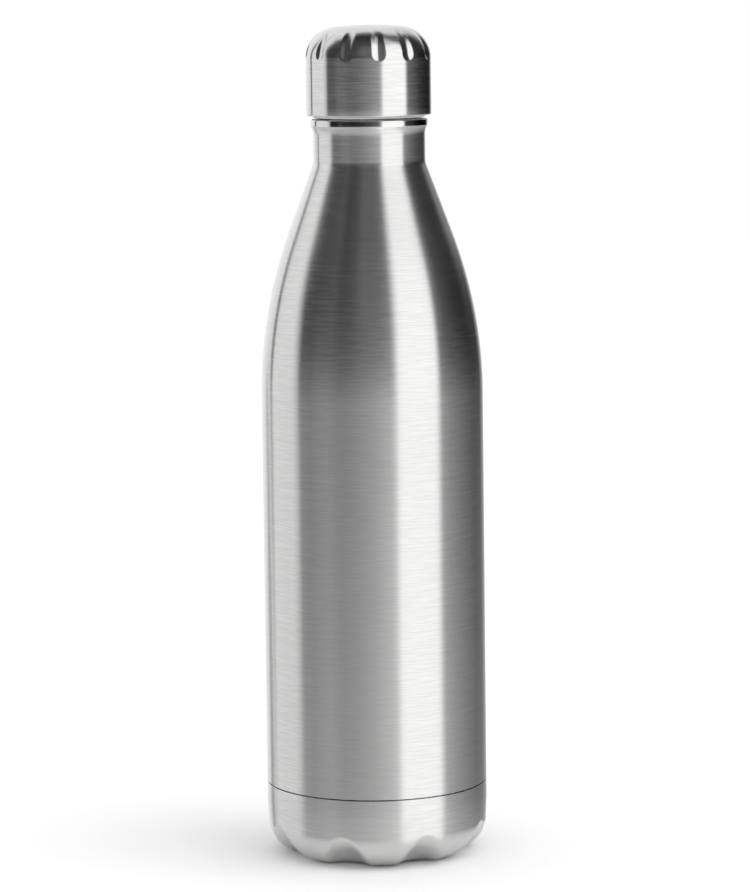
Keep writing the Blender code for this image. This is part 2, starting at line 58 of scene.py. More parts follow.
# Sizes that the frame gives
BODY_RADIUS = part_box("outer_shell")[1].x
SHELL_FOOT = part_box("outer_shell")[0].z
RIM_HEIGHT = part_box("outer_shell")[1].z
CUP_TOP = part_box("base_cup")[1].z
CAP_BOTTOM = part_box("cap_shell")[0].z
CAP_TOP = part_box("cap_shell")[1].z
LINER_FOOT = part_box("inner_liner")[0].z
STOPPER_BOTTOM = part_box("stopper")[0].z
FLANGE_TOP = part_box("stopper")[1].z
GASKET_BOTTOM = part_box("mouth_gasket")[0].z
GASKET_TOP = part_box("mouth_gasket")[1].z
DISC_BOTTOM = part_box("stopper_end_disc")[0].z
DISC_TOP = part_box("stopper_end_disc")[1].z
CAP_LINER_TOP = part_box("cap_liner")[1].z
CAP_LINER_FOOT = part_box("cap_liner")[0].z

# Sheet metal
SHELL_WALL = 0.5 * MM
LINER_WALL = 0.4 * MM
EDGE_ROUND = 0.12 * MM
EDGE_ROUND_SEGMENTS = 3
EDGE_MIN_ANGLE = math.radians(60.0)

# Wall of the flask: neck, fillet, cone, bow and barrel
BARREL_TOP = 170.0 * MM
BOW_RADIUS = 164.5 * MM
SHOULDER_SLOPE = 20.5
NECK_RADIUS = 20.35 * MM
NECK_FILLET = 5.4 * MM
BAND_RADIUS = 21.27 * MM
BAND_BOTTOM = 267.3 * MM
BAND_TOP_ROUND = 0.8 * MM
BAND_FOOT_ROUND = 0.6 * MM
BAND_FOOT_ANGLE = 30.0
LINER_RADIUS = 36.5 * MM
LINER_NECK_RADIUS = 17.4 * MM
LIP_GAP = 0.3 * MM

# Petal base cup
FOOT_COUNT = 8
FOOT_ANGLE = math.radians(3.75)
CUP_SIDE_RADIUS = 40.15 * MM
CUP_CORNER = 12.5 * MM
CUP_TAPER_TOP = 19.9 * MM
FOOT_PAD_WIDTH = 2.6 * MM
VALLEY_HALF_WIDTH = math.radians(14.5)
VALLEY_DEPTH = 2.6 * MM
VALLEY_LIFT = 0.9 * MM
VALLEY_SOFTNESS = 0.12
CUP_CENTRE_RISE = 6.4 * MM

# Screw cap
CAP_RADIUS = 22.7 * MM
CAP_CORNER = 11.5 * MM
CROWN_EDGE_ANGLE = 86.0
HEM_RADIUS = 0.55 * MM
HEM_HEIGHT = 2.0 * MM
FLUTE_COUNT = 12
FLUTE_ANGLE = math.radians(9.8)
FLUTE_HALF_WIDTH = math.radians(5.7)
FLUTE_FOOT = 290.6 * MM
FLUTE_FOOT_ROUND = 2.5 * MM
FLUTE_DEPTH = 0.65 * MM
FLUTE_FADE = (15.0, 75.0)
FLUTE_SOFTNESS = 0.22
CAP_LINER_RADIUS = 21.9 * MM
CAP_LINER_WALL = 1.2 * MM
CAP_LINER_CORNER = 13.0 * MM

# Stopper, its seal and the thread
STOPPER_RADIUS = 15.5 * MM
STOPPER_BORE = 14.0 * MM
STOPPER_EDGE = 0.3 * MM
FLANGE_RADIUS = 20.6 * MM
FLANGE_THICKNESS = 1.5 * MM
GASKET_INNER = 17.9 * MM
GASKET_OUTER = 20.3 * MM
GASKET_EDGE = 0.4 * MM
END_DISC_RADIUS = 15.3 * MM
END_DISC_TOP_EDGE = 0.15 * MM
END_DISC_BOTTOM_EDGE = 0.5 * MM
MOULDED_SHARP_ANGLE = math.radians(50.0)
THREAD_STARTS = 2
THREAD_LEAD = 8.0 * MM
THREAD_ROOT_WIDTH = 1.8 * MM
THREAD_CREST_WIDTH = 0.8 * MM
THREAD_DEPTH = 1.1 * MM
THREAD_FADE_TURNS = 0.1
LINER_THREAD_BOTTOM = 258.0 * MM
LINER_THREAD_TURNS = 0.75
STOPPER_THREAD_BOTTOM = 256.6 * MM
STOPPER_THREAD_TURNS = 1.0
THREAD_ROW = 0.2 * MM

# Facets round each turned piece
BODY_SEGMENTS = 256
CAP_SEGMENTS = 288
INNER_SEGMENTS = 192

# Rows of facets along each stretch of an outline
EDGE_ROWS = 4
STRAIGHT_ROWS = 6
BARREL_ROWS = 24
BOW_ROWS = 24
NECK_FILLET_ROWS = 10
BAND_TOP_ROWS = 10
BAND_FOOT_ROWS = 6
BAND_FILLET_ROWS = 14
CUP_TAPER_ROWS = 20
CUP_CORNER_ROWS = 44
HEM_ROWS = 18
FLUTE_FOOT_ROWS = 12
CAP_CORNER_ROWS = 60
CAP_LINER_ROWS = 24
CENTRE_ROWS = 16
END_DISC_TOP_ROWS = 3
END_DISC_BOTTOM_ROWS = 6

# Brushed steel: its two tones, its roughness and how far that varies, and its hairlines
STEEL_DARK = (0.6105, 0.6105, 0.6072)
STEEL_LIGHT = (0.6996, 0.6996, 0.6930)
SHELL_ROUGHNESS = 0.22
CAP_ROUGHNESS = 0.16
GRAIN_ROUGHNESS = 0.02
CLOUD_ROUGHNESS = 0.01
POLISHED_ROUGHNESS = 0.07
POLISH_EDGE = 0.3 * MM
HAIRLINE_LENGTH = 13.0 * MM
HAIRLINE_WIDTH = 0.50 * MM
FINE_HAIRLINE_LENGTH = 5.0 * MM
FINE_HAIRLINE_WIDTH = 0.20 * MM
HAIRLINE_RELIEF = 0.002 * MM

# Ranges that most of a noise texture lies in, and most of the hairlines
NOISE_RANGE = (0.3, 0.7)
HAIRLINE_RANGE = (0.32, 0.68)

# Studio: the table under the bottle and the floor round it, the plain dome and the key light
TABLE_RADIUS = 0.06
FLOOR_RADIUS = 3.0
FLOOR_SEGMENTS = 96
FLOOR_SHADE = 0.90
DOME_LIGHT = 1.05
KEY_STRENGTH = 0.75
KEY_SPREAD = math.radians(50.0)
KEY_AZIMUTH = math.radians(68.0)
KEY_ELEVATION = math.radians(52.0)

# Studio seen in the steel: the brightest a band can be, the share of it that is left overhead,
# and the sines of the elevations between which one band gives way to the next
SOFTBOX_PEAK = 1.5
OVERHEAD_SHARE = 0.06
DEEP_TO_LOW = (-0.42, -0.13)
LOW_TO_LEVEL = (-0.15, -0.08)
LEVEL_TO_HIGH = (0.06, 0.28)
HIGH_TO_TOP = (0.68, 0.78)
TOP_TO_OVERHEAD = (0.91, 0.975)

# Camera, with its place in metres and its angles in degrees
CAMERA_PLACE = (0.00171, -1.361, 0.325)
CAMERA_LENS = 151.3
CAMERA_SENSOR = 36.0
CAMERA_PITCH = 7.329
CAMERA_YAW = -0.04
CAMERA_ROLL = -0.71


# ---------------------------------------------------------------- mesh tools


def arc(centre_r, centre_z, radius, start, end, steps):
    """Points along a circular arc, with its angles in degrees from the +radius direction."""
    points = []
    for i in range(steps + 1):
        angle = math.radians(start + (end - start) * i / steps)
        points.append((centre_r + radius * math.cos(angle), centre_z + radius * math.sin(angle)))
    return points


def line(start, end, steps):
    """Points along a straight line, without its last one."""
    return [tuple(Vector(start).lerp(end, i / steps)) for i in range(steps)]


def smooth(value):
    """Ease a value from 0 to 1."""
    value = min(max(value, 0.0), 1.0)
    return value * value * (3.0 - 2.0 * value)


def soft_positive(value, softness):
    """The value where it is above 0, and 0 elsewhere, with a rounded bend between the two."""
    if abs(value) >= softness:
        return max(value, 0.0)
    return (value + softness) ** 2 / (4.0 * softness)


def off_nearest(angle, first, count):
    """Angle to the nearest of count evenly spaced directions."""
    pitch = math.tau / count
    return abs((angle - first + pitch / 2.0) % pitch - pitch / 2.0)


def rounded(corners, radius):
    """A closed outline with each of its corners rounded to an arc."""
    points = []
    for i, corner in enumerate(corners):
        here = Vector(corner)
        back = (Vector(corners[i - 1]) - here).normalized()
        ahead = (Vector(corners[(i + 1) % len(corners)]) - here).normalized()
        half = back.angle(ahead) / 2.0
        centre = here + (back + ahead).normalized() * radius / math.sin(half)
        start = here + back * radius / math.tan(half) - centre
        end = here + ahead * radius / math.tan(half) - centre
        for k in range(EDGE_ROWS + 1):
            spoke = start.lerp(end, k / EDGE_ROWS).normalized() * radius
            points.append(tuple(centre + spoke))
    return points


def ring_mesh(name, rows, segments, point, closed=False):
    """A skin of rings: point(row, angle) gives the (radius, height) of one row at one angle.

    A row on the axis is a single point, and the facets that reach it are triangles.
    """
    skin = bmesh.new()
    rings = []
    for row in rows:
        spots = []
        for i in range(segments):
            angle = math.tau * i / segments
            r, z = point(row, angle)
            spots.append((r * math.cos(angle), r * math.sin(angle), z))
        if math.hypot(*spots[0][:2]) < SAME:
            spots = [(0.0, 0.0, spots[0][2])]
        rings.append([skin.verts.new(spot) for spot in spots])
    pairs = list(zip(rings, rings[1:]))
    if closed:
        pairs.append((rings[-1], rings[0]))
    for upper, lower in pairs:
        for i in range(segments):
            j = i + 1
            corners = [upper[i % len(upper)], lower[i % len(lower)]]
            corners += [lower[j % len(lower)], upper[j % len(upper)]]
            skin.faces.new(list(dict.fromkeys(corners)))
    bmesh.ops.recalc_face_normals(skin, faces=skin.faces)
    mesh = bpy.data.meshes.new(name)
    skin.to_mesh(mesh)
    skin.free()
    mesh.shade_smooth()
    return mesh


def as_drawn(row, angle):
    """A row of a plain turned piece is the same all the way round."""
    return row


def make_piece(name, mesh, material, node, body, wall=0.0):
    """Put a mesh in the scene in place of its CAD node, thickened inwards if it is a sheet."""
    mesh.materials.append(material)
    piece = bpy.data.objects.new(name, mesh)
    bpy.context.scene.collection.objects.link(piece)
    if wall:
        solidify = piece.modifiers.new("wall", "SOLIDIFY")
        solidify.thickness = wall
        solidify.offset = -1.0
        solidify.use_even_offset = True
        bevel = piece.modifiers.new("edges", "BEVEL")
        bevel.width = EDGE_ROUND
        bevel.segments = EDGE_ROUND_SEGMENTS
        bevel.limit_method = "ANGLE"
        bevel.angle_limit = EDGE_MIN_ANGLE
        bevel.harden_normals = True
    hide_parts(node)
    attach(piece, body)


# ---------------------------------------------------------------- node tools


def add_node(tree, kind, inputs=None, **settings):
    """Add a node. Each input is a value, or the output of another node to link to it."""
    node = tree.nodes.new(kind)
    for key, value in settings.items():
        setattr(node, key, value)
    for key, value in (inputs or {}).items():
        if isinstance(value, bpy.types.NodeSocket):
            tree.links.new(value, node.inputs[key])
        else:
            node.inputs[key].default_value = value
    return node


def calculate(tree, operation, first, second=0.0):
    """The result of a Math node."""
    node = add_node(tree, "ShaderNodeMath", {0: first, 1: second}, operation=operation)
    return node.outputs[0]


def map_range(tree, value, low, high, to_low=0.0, to_high=1.0):
    """A value eased from one range to another."""
    inputs = {"Value": value, "From Min": low, "From Max": high}
    inputs.update({"To Min": to_low, "To Max": to_high})
    node = add_node(tree, "ShaderNodeMapRange", inputs, interpolation_type="SMOOTHSTEP")
    return node.outputs["Result"]


def noise(tree, vector, scale, detail=2.0, roughness=0.5):
    """A noise value around 0.5."""
    inputs = {"Vector": vector, "Scale": scale, "Detail": detail, "Roughness": roughness}
    return add_node(tree, "ShaderNodeTexNoise", inputs).outputs["Fac"]


def cells(tree, vector, scale):
    """Distance from the nearest of many scattered points: a pattern of rounded cells."""
    inputs = {"Vector": vector, "Scale": scale}
    return add_node(tree, "ShaderNodeTexVoronoi", inputs).outputs["Distance"]


def vary(tree, value, low, high):
    """A noise value spread over the range from low to high."""
    return map_range(tree, value, *NOISE_RANGE, low, high)


def blend(tree, share, first, second):
    """The first colour giving way to the second.

    The Mix node has several sockets of each name, so its colour sockets go by number.
    """
    inputs = {0: share, 6: first, 7: second}
    return add_node(tree, "ShaderNodeMix", inputs, data_type="RGBA").outputs[2]


def mottled(tree, value, dark, light):
    """A colour between two fixed (r, g, b) colours."""
    return blend(tree, value, (*dark, 1.0), (*light, 1.0))


def new_material(name, metallic, roughness):
    """A material with its Principled shader and the piece's own coordinates."""
    material = bpy.data.materials.new(name)
    material.use_nodes = True
    tree = material.node_tree
    shader = tree.nodes["Principled BSDF"]
    shader.inputs["Metallic"].default_value = metallic
    shader.inputs["Roughness"].default_value = roughness
    place = add_node(tree, "ShaderNodeTexCoord").outputs["Object"]
    return material, tree, shader, place


def add_bump(tree, shader, height, distance):
    """Raise the surface by a height field."""
    inputs = {"Height": height, "Distance": distance, "Strength": 1.0}
    bump = add_node(tree, "ShaderNodeBump", inputs)
    tree.links.new(bump.outputs["Normal"], shader.inputs["Normal"])


# ---------------------------------------------------------------- materials


def hairlines(tree, place, run, length, width):
    """Noise drawn out round the Z axis, as fine across the surface as it is long round it.

    run is the sign with which the radius joins the height, so that the lines never merge where
    the surface turns from upright to level.
    """
    parts = add_node(tree, "ShaderNodeSeparateXYZ", {0: place})
    flat = {0: parts.outputs["X"], 1: parts.outputs["Y"]}
    spoke = add_node(tree, "ShaderNodeCombineXYZ", flat).outputs[0]
    measured = add_node(tree, "ShaderNodeVectorMath", {0: spoke}, operation="LENGTH")
    outwards = calculate(tree, "MULTIPLY", measured.outputs["Value"], run)
    across = calculate(tree, "ADD", parts.outputs["Z"], outwards)
    drawn = {
        0: calculate(tree, "MULTIPLY", parts.outputs["X"], 1.0 / length),
        1: calculate(tree, "MULTIPLY", parts.outputs["Y"], 1.0 / length),
        2: calculate(tree, "MULTIPLY", across, 1.0 / width),
    }
    vector = add_node(tree, "ShaderNodeCombineXYZ", drawn)
    return noise(tree, vector.outputs[0], 1.0)


def brushed_steel(name, run, rough, polish_from=None):
    """Stainless steel brushed round the bottle, with its highlights drawn out up and down.

    run is as for hairlines, and the steel is polished above the height polish_from.
    """
    material, tree, shader, place = new_material(name, metallic=1.0, roughness=rough)
    coarse = hairlines(tree, place, run, HAIRLINE_LENGTH, HAIRLINE_WIDTH)
    fine = hairlines(tree, place, run, FINE_HAIRLINE_LENGTH, FINE_HAIRLINE_WIDTH)
    grain = calculate(tree, "MULTIPLY", calculate(tree, "ADD", coarse, fine), 0.5)
    cloud = noise(tree, place, scale=22.0, detail=3.0)

    tone = map_range(tree, grain, *HAIRLINE_RANGE)
    colour = mottled(tree, tone, STEEL_DARK, STEEL_LIGHT)
    tree.links.new(colour, shader.inputs["Base Color"])

    grain_rough = vary(tree, grain, rough - GRAIN_ROUGHNESS, rough + GRAIN_ROUGHNESS)
    cloud_rough = vary(tree, cloud, -CLOUD_ROUGHNESS, CLOUD_ROUGHNESS)
    roughness = calculate(tree, "ADD", grain_rough, cloud_rough)
    relief = grain
    if polish_from is not None:
        height = add_node(tree, "ShaderNodeSeparateXYZ", {0: place}).outputs["Z"]
        brushed = map_range(tree, height, polish_from, polish_from + POLISH_EDGE, 1.0, 0.0)
        excess = calculate(tree, "SUBTRACT", roughness, POLISHED_ROUGHNESS)
        kept = calculate(tree, "MULTIPLY", excess, brushed)
        roughness = calculate(tree, "ADD", kept, POLISHED_ROUGHNESS)
        relief = calculate(tree, "MULTIPLY", grain, brushed)
    tree.links.new(roughness, shader.inputs["Roughness"])
    add_bump(tree, shader, relief, HAIRLINE_RELIEF)

    shader.inputs["Anisotropic"].default_value = 1.0
    shader.inputs["Anisotropic Rotation"].default_value = 0.25
    tangent = add_node(tree, "ShaderNodeTangent", direction_type="RADIAL", axis="Z")
    tree.links.new(tangent.outputs[0], shader.inputs["Tangent"])
    return material


def pressed_steel(name):
    """Bare pressed steel with a fine matt grain and faint drawing marks."""
    material, tree, shader, place = new_material(name, metallic=1.0, roughness=0.4)
    grain = noise(tree, place, scale=2600.0)
    marks = hairlines(tree, place, run=1.0, length=40.0 * MM, width=1.1 * MM)
    colour = mottled(tree, marks, (0.50, 0.50, 0.49), (0.60, 0.60, 0.59))
    tree.links.new(colour, shader.inputs["Base Color"])
    tree.links.new(vary(tree, grain, 0.34, 0.46), shader.inputs["Roughness"])
    add_bump(tree, shader, grain, 0.004 * MM)
    return material


def moulded_plastic(name, dark, light, roughness=0.45):
    """Moulded polymer: a slight mottle, and the eroded texture of the mould."""
    material, tree, shader, place = new_material(name, metallic=0.0, roughness=roughness)
    mottle = noise(tree, place, scale=90.0, detail=3.0)
    texture = noise(tree, place, scale=3000.0)
    tree.links.new(mottled(tree, mottle, dark, light), shader.inputs["Base Color"])
    rough = vary(tree, texture, roughness - 0.06, roughness + 0.06)
    tree.links.new(rough, shader.inputs["Roughness"])
    add_bump(tree, shader, texture, 0.006 * MM)
    return material


def silicone(name):
    """Milky silicone rubber that lets a little light through."""
    material = moulded_plastic(name, (0.74, 0.75, 0.74), (0.82, 0.82, 0.80), roughness=0.42)
    shader = material.node_tree.nodes["Principled BSDF"]
    shader.inputs["Subsurface Weight"].default_value = 0.3
    shader.inputs["Subsurface Scale"].default_value = 0.8 * MM
    return material


def crumpled_copper(name):
    """Thin copper foil with the creases of its wrap."""
    material, tree, shader, place = new_material(name, metallic=1.0, roughness=0.25)
    creases = noise(tree, place, scale=260.0, detail=4.0, roughness=0.6)
    colour = mottled(tree, creases, (0.72, 0.36, 0.22), (0.90, 0.52, 0.36))
    tree.links.new(colour, shader.inputs["Base Color"])
    tree.links.new(vary(tree, creases, 0.18, 0.34), shader.inputs["Roughness"])
    add_bump(tree, shader, creases, 0.08 * MM)
    return material


def dark_glass(name):
    """Fused solder glass with small bubbles near its surface."""
    material, tree, shader, place = new_material(name, metallic=0.0, roughness=0.15)
    bubbles = noise(tree, place, scale=900.0, detail=3.0)
    colour = mottled(tree, bubbles, (0.08, 0.11, 0.10), (0.18, 0.22, 0.20))
    tree.links.new(colour, shader.inputs["Base Color"])
    tree.links.new(vary(tree, bubbles, 0.10, 0.24), shader.inputs["Roughness"])
    add_bump(tree, shader, bubbles, 0.02 * MM)
    return material


def sintered_alloy(name):
    """The porous, matt metal of the getter pellet."""
    material, tree, shader, place = new_material(name, metallic=0.6, roughness=0.8)
    grain = cells(tree, place, scale=2600.0)
    colour = mottled(tree, grain, (0.13, 0.13, 0.14), (0.30, 0.30, 0.31))
    tree.links.new(colour, shader.inputs["Base Color"])
    tree.links.new(map_range(tree, grain, 0.0, 1.0, 0.70, 0.92), shader.inputs["Roughness"])
    add_bump(tree, shader, grain, 0.08 * MM)
    return material


def cellular_foam(name):
    """Rigid insulating foam with open cells on its cut faces."""
    material, tree, shader, place = new_material(name, metallic=0.0, roughness=0.95)
    cell = cells(tree, place, scale=1400.0)
    colour = mottled(tree, cell, (0.90, 0.88, 0.80), (0.76, 0.73, 0.64))
    tree.links.new(colour, shader.inputs["Base Color"])
    add_bump(tree, shader, cell, 0.15 * MM)
    return material


def white_laminate(name):
    """The floor's matt white laminate, with a barely visible tooth."""
    material, tree, shader, place = new_material(name, metallic=0.0, roughness=0.75)
    tooth = noise(tree, place, scale=900.0, detail=3.0)
    tone = (FLOOR_SHADE,) * 3
    bright = (FLOOR_SHADE + 0.01,) * 3
    tree.links.new(mottled(tree, tooth, tone, bright), shader.inputs["Base Color"])
    shader.inputs["Specular IOR Level"].default_value = 0.0
    return material


# ---------------------------------------------------------------- bottle


def wall_line(body_radius, neck_radius, bow_radius, fillet_radius):
    """A flask wall from the foot of its neck to the top of its barrel: fillet, cone and bow."""
    slope = math.radians(SHOULDER_SLOPE)
    bow_end_r = body_radius - bow_radius * (1.0 - math.cos(slope))
    bow_end_z = BARREL_TOP + bow_radius * math.sin(slope)
    fillet_end_r = neck_radius + fillet_radius * (1.0 - math.cos(slope))
    fillet_end_z = bow_end_z + (bow_end_r - fillet_end_r) / math.tan(slope)
    neck_z = fillet_end_z + fillet_radius * math.sin(slope)
    fillet_r = neck_radius + fillet_radius
    fillet_end = 180.0 + SHOULDER_SLOPE
    fillet = arc(fillet_r, neck_z, fillet_radius, 180.0, fillet_end, NECK_FILLET_ROWS)
    bow = arc(body_radius - bow_radius, BARREL_TOP, bow_radius, SHOULDER_SLOPE, 0.0, BOW_ROWS)
    return fillet + line(fillet[-1], bow[0], STRAIGHT_ROWS)[1:] + bow


def rim_line():
    """The mouth's turned-in lip, its polished band, and the fillet that runs into the neck."""
    top_r = BAND_RADIUS - BAND_TOP_ROUND
    top_z = RIM_HEIGHT - BAND_TOP_ROUND
    foot_r = BAND_RADIUS - BAND_FOOT_ROUND
    lean = math.radians(BAND_FOOT_ANGLE)
    fillet_start_r = foot_r + BAND_FOOT_ROUND * math.cos(lean)
    fillet_radius = (fillet_start_r - NECK_RADIUS) / (1.0 - math.cos(lean))
    fillet_z = BAND_BOTTOM - (BAND_FOOT_ROUND + fillet_radius) * math.sin(lean)
    fillet_r = NECK_RADIUS + fillet_radius
    lip = [(LINER_NECK_RADIUS + LIP_GAP, RIM_HEIGHT)]
    top = arc(top_r, top_z, BAND_TOP_ROUND, 90.0, 0.0, BAND_TOP_ROWS)
    foot = arc(foot_r, BAND_BOTTOM, BAND_FOOT_ROUND, 0.0, -BAND_FOOT_ANGLE, BAND_FOOT_ROWS)
    fillet_start = 180.0 - BAND_FOOT_ANGLE
    fillet = arc(fillet_r, fillet_z, fillet_radius, fillet_start, 180.0, BAND_FILLET_ROWS)
    return lip + top + foot + fillet[1:]


def make_outer_shell():
    """The outer wall, from its lip over the rim band, neck and shoulder to the barrel's foot."""
    shoulder = wall_line(BODY_RADIUS, NECK_RADIUS, BOW_RADIUS, NECK_FILLET)
    rim = rim_line()
    neck = line(rim[-1], shoulder[0], STRAIGHT_ROWS)[1:]
    foot = (BODY_RADIUS, SHELL_FOOT)
    barrel = line(shoulder[-1], foot, BARREL_ROWS)[1:]
    outline = rim + neck + shoulder + barrel + [foot]
    mesh = ring_mesh("bottle_shell", outline, BODY_SEGMENTS, as_drawn)
    polish_from = BAND_BOTTOM - BAND_FOOT_ROUND
    steel = brushed_steel("brushed_shell", -1.0, SHELL_ROUGHNESS, polish_from)
    make_piece(
        "bottle_shell", mesh, steel, "outer_shell", "bottle", SHELL_WALL
    )


def thread_height(angle, z, bottom, turns):
    """Height of the screw thread above its wall, at one angle and one height up the wall."""
    best = 0.0
    for start in range(THREAD_STARTS):
        turn = (angle / math.tau - start / THREAD_STARTS) % 1.0
        fade = smooth(min(turn, turns - turn) / THREAD_FADE_TURNS)
        off_crest = abs(z - bottom - THREAD_LEAD * turn) - THREAD_CREST_WIDTH / 2.0
        flank = (THREAD_ROOT_WIDTH - THREAD_CREST_WIDTH) / 2.0
        best = max(best, fade * smooth(1.0 - off_crest / flank))
    return THREAD_DEPTH * best


def thread_rows(radius, bottom, turns):
    """Closely spaced rows of a wall, up past its thread."""
    low = bottom - THREAD_ROOT_WIDTH
    high = bottom + THREAD_LEAD * turns + THREAD_ROOT_WIDTH
    return line((radius, low), (radius, high), round((high - low) / THREAD_ROW))


def make_inner_liner():
    """The inner wall, which runs beside the outer one, with the thread pressed into its neck."""
    inset = BODY_RADIUS - LINER_RADIUS
    shoulder = wall_line(
        LINER_RADIUS, LINER_NECK_RADIUS, BOW_RADIUS - inset, NECK_FILLET + inset
    )
    thread = thread_rows(LINER_NECK_RADIUS, LINER_THREAD_BOTTOM, LINER_THREAD_TURNS)
    foot = [(LINER_RADIUS, LINER_FOOT)]
    outline = [(LINER_NECK_RADIUS, RIM_HEIGHT)] + thread[::-1] + shoulder + foot

    def pressed(row, angle):
        r, z = row
        if abs(r - LINER_NECK_RADIUS) > SAME:
            return row
        return r - thread_height(angle, z, LINER_THREAD_BOTTOM, LINER_THREAD_TURNS), z

    mesh = ring_mesh("neck_liner", outline, INNER_SEGMENTS, pressed)
    steel = pressed_steel("pressed_liner")
    make_piece(
        "neck_liner", mesh, steel, "inner_liner", "bottle", LINER_WALL
    )


def cup_rows():
    """Rows of the base cup: (radius, height, angle round its corner, share of the way in)."""
    corner_r = CUP_SIDE_RADIUS - CUP_CORNER
    pad_r = corner_r - FOOT_PAD_WIDTH
    level = math.pi / 2.0
    side = [(BODY_RADIUS, CUP_TOP)]
    side += line((BODY_RADIUS, CUP_TAPER_TOP), (CUP_SIDE_RADIUS, CUP_CORNER), CUP_TAPER_ROWS)
    rows = [(r, z, 0.0, 0.0) for r, z in side]
    corner = arc(corner_r, CUP_CORNER, CUP_CORNER, 0.0, -90.0, CUP_CORNER_ROWS)
    for i, (r, z) in enumerate(corner):
        rows.append((r, z, level * i / CUP_CORNER_ROWS, 0.0))
    rows.append((pad_r, 0.0, level, 0.0))
    for i in range(1, CENTRE_ROWS + 1):
        share = i / CENTRE_ROWS
        height = CUP_CENTRE_RISE * smooth(share)
        rows.append((pad_r * (1.0 - share), height, level, share))
    return rows


def cup_point(row, angle):
    """A point of the base cup, pressed in where it lies in a valley between two feet."""
    r, z, turn, share = row
    if turn == 0.0:
        return r, z
    first_valley = FRONT + FOOT_ANGLE + math.pi / FOOT_COUNT
    width = VALLEY_HALF_WIDTH * math.sqrt(math.sin(turn))
    off_valley = off_nearest(angle, first_valley, FOOT_COUNT) / width
    press = soft_positive(1.0 - off_valley**2, VALLEY_SOFTNESS)
    middle = VALLEY_DEPTH * math.sin(2.0 * turn) + VALLEY_LIFT * math.sin(turn) ** 2
    depth = middle * press * (1.0 - smooth(share))
    return r - depth * math.cos(turn), z + depth * math.sin(turn)


def make_base_cup():
    """The pressed cup under the seam, with its eight feet."""
    mesh = ring_mesh("bottle_base", cup_rows(), BODY_SEGMENTS, cup_point)
    steel = brushed_steel("brushed_base", 1.0, SHELL_ROUGHNESS)
    make_piece(
        "bottle_base", mesh, steel, "base_cup", "bottle", SHELL_WALL
    )


# ---------------------------------------------------------------- cap


def cap_rows():
    """Rows of the cap: (radius, height, angle round its corner, distance up from the flutes)."""
    corner_r = CAP_RADIUS - CAP_CORNER
    crown_slope = math.radians(90.0 - CROWN_EDGE_ANGLE)
    crown_turn = math.radians(CROWN_EDGE_ANGLE)
    edge_r = corner_r + CAP_CORNER * math.cos(crown_turn)
    crown_rise = edge_r * math.tan(crown_slope / 2.0)
    corner_z = CAP_TOP - crown_rise - CAP_CORNER * math.sin(crown_turn)
    hem_r = CAP_RADIUS - HEM_RADIUS
    hem = [(hem_r - HEM_RADIUS, CAP_BOTTOM + HEM_HEIGHT)]
    hem += arc(hem_r, CAP_BOTTOM + HEM_RADIUS, HEM_RADIUS, 180.0, 360.0, HEM_ROWS)
    plain_top = (CAP_RADIUS, FLUTE_FOOT - FLUTE_FOOT_ROUND / 2.0)
    side = line(hem[-1], plain_top, STRAIGHT_ROWS)[1:]
    side += line(plain_top, (CAP_RADIUS, corner_z), FLUTE_FOOT_ROWS)
    rows = [(r, z, 0.0, z - FLUTE_FOOT) for r, z in hem + side]
    corner = arc(corner_r, corner_z, CAP_CORNER, 0.0, CROWN_EDGE_ANGLE, CAP_CORNER_ROWS)
    for i, (r, z) in enumerate(corner):
        turn = crown_turn * i / CAP_CORNER_ROWS
        rows.append((r, z, turn, corner_z - FLUTE_FOOT + CAP_CORNER * turn))
    along = rows[-1][3]
    for i in range(1, CENTRE_ROWS + 1):
        share = i / CENTRE_ROWS
        drop = crown_rise * (1.0 - share) ** 2
        rows.append((edge_r * (1.0 - share), CAP_TOP - drop, math.pi / 2.0, along))
    return rows


def cap_point(row, angle):
    """A point of the cap, sunk where it lies in a flute: a dent with a round foot."""
    r, z, turn, along = row
    across = off_nearest(angle, FRONT + FLUTE_ANGLE, FLUTE_COUNT) / FLUTE_HALF_WIDTH
    below = min(along / FLUTE_FOOT_ROUND - 1.0, 0.0)
    dent = soft_positive(1.0 - across**2 - below**2, FLUTE_SOFTNESS)
    start, end = FLUTE_FADE
    fade = 1.0 - smooth((math.degrees(turn) - start) / (end - start))
    depth = FLUTE_DEPTH * dent * fade
    return r - depth * math.cos(turn), z - depth * math.sin(turn)


def make_cap_shell():
    """The steel cap, with its hemmed lower edge and its twelve flutes."""
    mesh = ring_mesh("cap_steel", cap_rows(), CAP_SEGMENTS, cap_point)
    steel = brushed_steel("brushed_cap", -1.0, CAP_ROUGHNESS)
    make_piece("cap_steel", mesh, steel, "cap_shell", "cap", SHELL_WALL)


def make_cap_liner(plastic):
    """The plastic cup inside the steel cap."""
    corner_r = CAP_LINER_RADIUS - CAP_LINER_CORNER
    corner_z = CAP_LINER_TOP - CAP_LINER_CORNER
    outline = line((0.0, CAP_LINER_TOP), (corner_r, CAP_LINER_TOP), EDGE_ROWS)
    outline += arc(corner_r, corner_z, CAP_LINER_CORNER, 90.0, 0.0, CAP_LINER_ROWS)
    outline += [(CAP_LINER_RADIUS, CAP_LINER_FOOT)]
    mesh = ring_mesh("cap_inner_cup", outline, INNER_SEGMENTS, as_drawn)
    make_piece(
        "cap_inner_cup", mesh, plastic, "cap_liner", "cap", CAP_LINER_WALL
    )


def make_mouth_gasket():
    """The silicone ring that the stopper's flange presses on the rim."""
    corners = [
        (GASKET_INNER, GASKET_TOP),
        (GASKET_OUTER, GASKET_TOP),
        (GASKET_OUTER, GASKET_BOTTOM),
        (GASKET_INNER, GASKET_BOTTOM),
    ]
    outline = rounded(corners, GASKET_EDGE)
    mesh = ring_mesh("sealing_ring", outline, INNER_SEGMENTS, as_drawn, closed=True)
    rubber = silicone("milky_silicone")
    make_piece("sealing_ring", mesh, rubber, "mouth_gasket", "seal")


